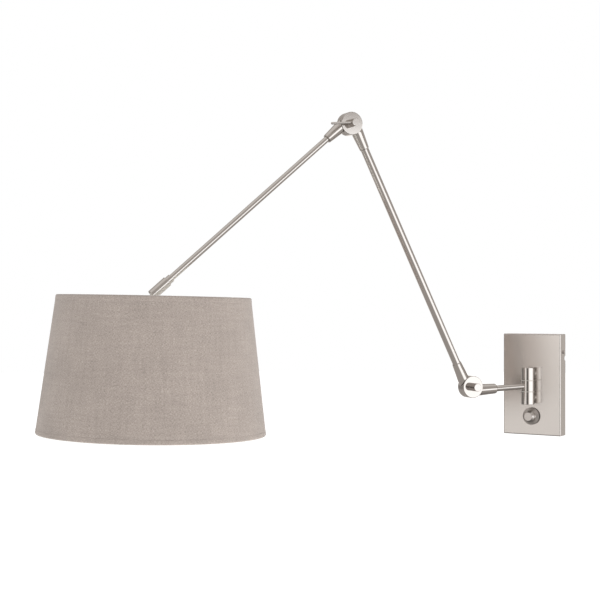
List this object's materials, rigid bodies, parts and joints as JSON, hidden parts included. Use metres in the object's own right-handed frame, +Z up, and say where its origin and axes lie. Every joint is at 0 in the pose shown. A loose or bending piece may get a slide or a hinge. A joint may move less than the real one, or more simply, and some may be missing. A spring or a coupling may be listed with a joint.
{
  "type": "swing-arm wall lamp",
  "caption": "Wall lamp on a rectangular back plate: vertical swing hinge, tube arms with clamped disc elbows, push dimmer knob, and a tapered linen drum shade.",
  "frame": {"origin": "middle of the back plate's wall side, on the wall's surface", "axes": "+X to the right along the wall, +Y into the wall, +Z up; the lamp stands out along -Y"},
  "size_m": [0.5258, 0.6551, 0.4615],
  "materials": {
    "satin_nickel": "satin nickel plate",
    "bare_steel": "zinc-plated steel",
    "brass": "plain",
    "galvanised": "galvanised sheet",
    "white_wire": "white powder coat",
    "black_plastic": "moulded",
    "white_plastic": "moulded",
    "natural_nylon": "moulded",
    "flex_sheath": "clear-grey PVC sheath",
    "porcelain": "glazed ceramic",
    "aluminium": "spun",
    "opal_glass": "opal coated",
    "linen": "slubbed linen, taupe",
    "shade_backing": "styrene lining, white"
  },
  "bodies": {
    "wall": {"wall_cover": "satin_nickel", "mounting_bracket": "galvanised", "cover_screws": "satin_nickel", "backing_plate": "galvanised", "earth_screw": "brass", "upper_knuckle": "satin_nickel", "lower_knuckle": "satin_nickel", "knuckle_nuts": "bare_steel", "hinge_pins": "bare_steel", "dimmer_body": "black_plastic", "dimmer_back": "black_plastic", "dimmer_nut": "bare_steel", "terminal_block": "white_plastic", "terminal_inserts": "brass", "terminal_screws": "bare_steel", "wall_flex": "flex_sheath", "dimmer_leads": "flex_sheath"},
    "swing": {"swing_knuckle": "satin_nickel", "hinge_washers": "natural_nylon", "swing_rod": "satin_nickel", "swing_eye": "satin_nickel", "lower_elbow_ring": "natural_nylon", "lower_elbow_bolt": "satin_nickel", "lower_elbow_springs": "bare_steel", "lower_elbow_nut": "satin_nickel", "swing_flex": "flex_sheath"},
    "lower_arm": {"lower_base_eye": "satin_nickel", "lower_arm_tube": "satin_nickel", "lower_top_eye": "satin_nickel", "upper_elbow_ring": "natural_nylon", "lower_arm_flex": "flex_sheath"},
    "clamp": {"clamp_washer": "satin_nickel", "clamp_bolt": "satin_nickel", "clamp_lever": "satin_nickel"},
    "upper_arm": {"clamp_springs": "bare_steel", "clamp_nut": "satin_nickel", "upper_arm_eye": "satin_nickel", "upper_arm_tube": "satin_nickel", "upper_arm_collar": "satin_nickel", "head_sleeve": "satin_nickel", "head_pin": "bare_steel", "upper_arm_flex": "flex_sheath"},
    "head": {"head_tongue": "satin_nickel", "holder_cap": "satin_nickel", "holder_body": "white_plastic", "holder_insert": "porcelain", "screw_shell": "brass", "holder_contact": "brass", "shade_ring_nut": "white_plastic", "bulb_contact": "aluminium", "bulb_cap": "aluminium", "bulb_glass": "opal_glass", "shade_fabric": "linen", "shade_liner": "shade_backing", "shade_spider": "white_wire", "shade_rings": "white_wire", "head_flex": "flex_sheath"},
    "dimmer_carriage": {"dimmer_plunger": "natural_nylon"},
    "dimmer_dial": {"dimmer_knob": "satin_nickel", "dimmer_shaft": "bare_steel"}
  },
  "joints": [
    {"name": "swing_hinge", "type": "hinge", "parent": "wall", "child": "swing", "pos_m": [0, -0.035, -0.0015], "axis": [0, 0, 1], "range_deg": [-45, 115]},
    {"name": "lower_elbow", "type": "hinge", "parent": "swing", "child": "lower_arm", "pos_m": [-0.05552, -0.11429, -0.00015], "axis": [0.8192, -0.5736, 0], "range_deg": [-40, 60]},
    {"name": "upper_elbow", "type": "hinge", "parent": "lower_arm", "child": "upper_arm", "pos_m": [-0.16572, -0.27167, 0.37051], "axis": [-0.8192, 0.5736, 0], "range_deg": [-35, 90]},
    {"name": "head_tilt", "type": "hinge", "parent": "upper_arm", "child": "head", "pos_m": [-0.32697, -0.50197, 0.13461], "axis": [0.8192, -0.5736, 0], "range_deg": [-55, 35]},
    {"name": "clamp_lever_turn", "type": "hinge", "parent": "lower_arm", "child": "clamp", "pos_m": [-0.16572, -0.27167, 0.37051], "axis": [0.8192, -0.5736, 0], "range_deg": [-20, 60]},
    {"name": "dimmer_push", "type": "slide", "parent": "wall", "child": "dimmer_carriage", "axis": [0, 1, 0], "range_m": [0, 0.0012], "stiffness_N_per_m": 1500, "springref_m": -0.001},
    {"name": "dimmer_turn", "type": "hinge", "parent": "dimmer_carriage", "child": "dimmer_dial", "pos_m": [0, -0.02, -0.047], "axis": [0, 1, 0], "range_deg": [0, 270]}
  ]
}
